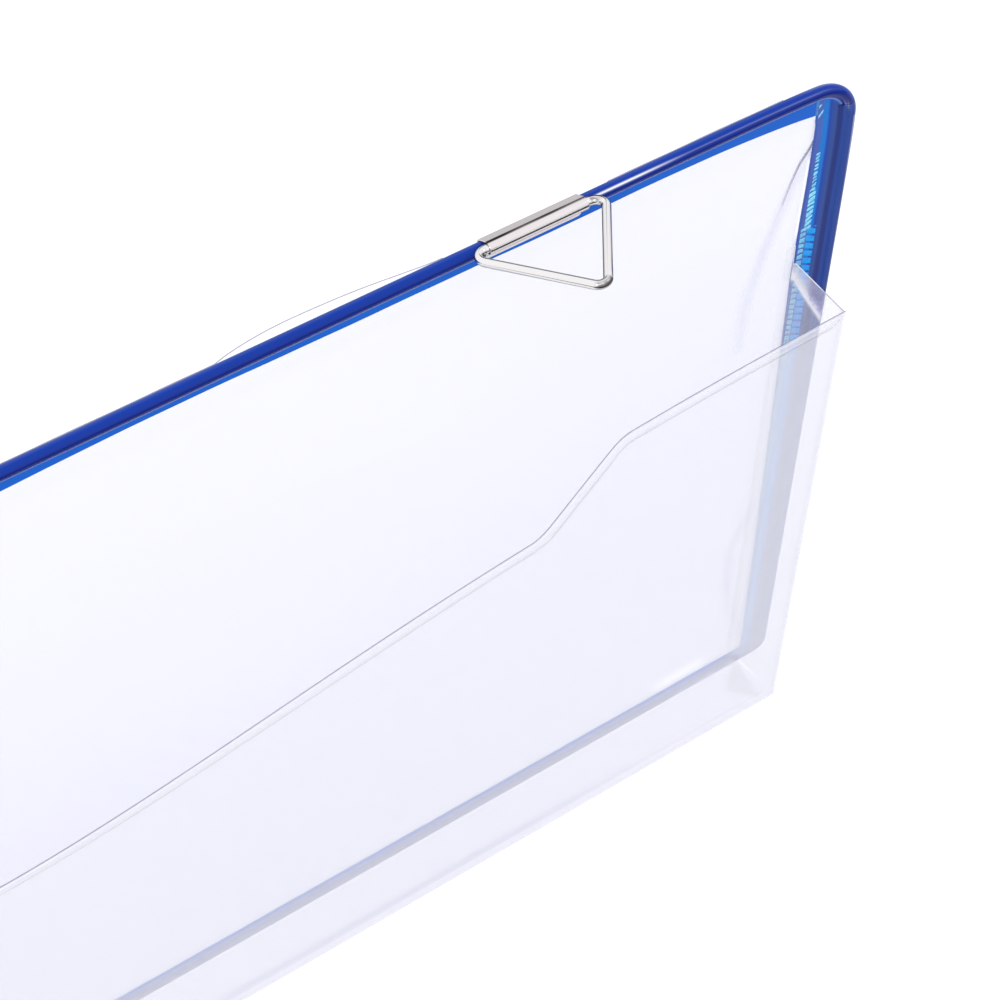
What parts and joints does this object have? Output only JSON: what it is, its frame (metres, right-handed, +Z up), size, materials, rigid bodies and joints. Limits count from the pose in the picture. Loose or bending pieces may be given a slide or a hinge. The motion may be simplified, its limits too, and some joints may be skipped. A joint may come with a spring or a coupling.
{
  "type": "wall file organizer",
  "caption": "Landscape clear vinyl file pocket with a gusseted front, a blue bound wire frame, and folded clips with swinging triangular wire rings to hang it by.",
  "frame": {"origin": "middle of the frame wire's top run, level with the two quarter points where the clips sit", "axes": "+X to the right along the top edge seen from the front, +Y back towards the wall, +Z up; the pocket opens upwards on the -Y side"},
  "size_m": [0.3408, 0.0346, 0.2355],
  "materials": {
    "frame_steel": "drawn steel wire, hidden inside the binding",
    "blue_vinyl": "glossy translucent blue vinyl strip, welded with a fine cross ribbed seam",
    "clear_vinyl": "glossy clear vinyl film with a faint blue tint",
    "satin_nickel": "nickel plated folded sheet, softly polished",
    "bright_nickel": "bright nickel plated wire"
  },
  "bodies": {
    "root": {"frame_wire": "frame_steel", "border_top": "blue_vinyl", "border_bottom": "blue_vinyl", "border_left": "blue_vinyl", "border_right": "blue_vinyl", "back_panel": "clear_vinyl", "pocket_front": "clear_vinyl", "pocket_bottom_gusset": "clear_vinyl", "pocket_side_gusset_left": "clear_vinyl", "pocket_side_gusset_right": "clear_vinyl", "pocket_corner_tuck_left": "clear_vinyl", "pocket_corner_tuck_right": "clear_vinyl", "clip_left": "satin_nickel", "clip_right": "satin_nickel"},
    "left_ring": {"ring_left": "bright_nickel"},
    "right_ring": {"ring_right": "bright_nickel"}
  },
  "joints": [
    {"name": "left_ring_swing", "type": "hinge", "parent": "root", "child": "left_ring", "pos_m": [-0.084, -0.00222, 0.00186], "axis": [-1, 0, 0], "range_deg": [-85, 144]},
    {"name": "right_ring_swing", "type": "hinge", "parent": "root", "child": "right_ring", "pos_m": [0.084, -0.00222, 0.00186], "axis": [-1, 0, 0], "range_deg": [-85, 144]}
  ]
}
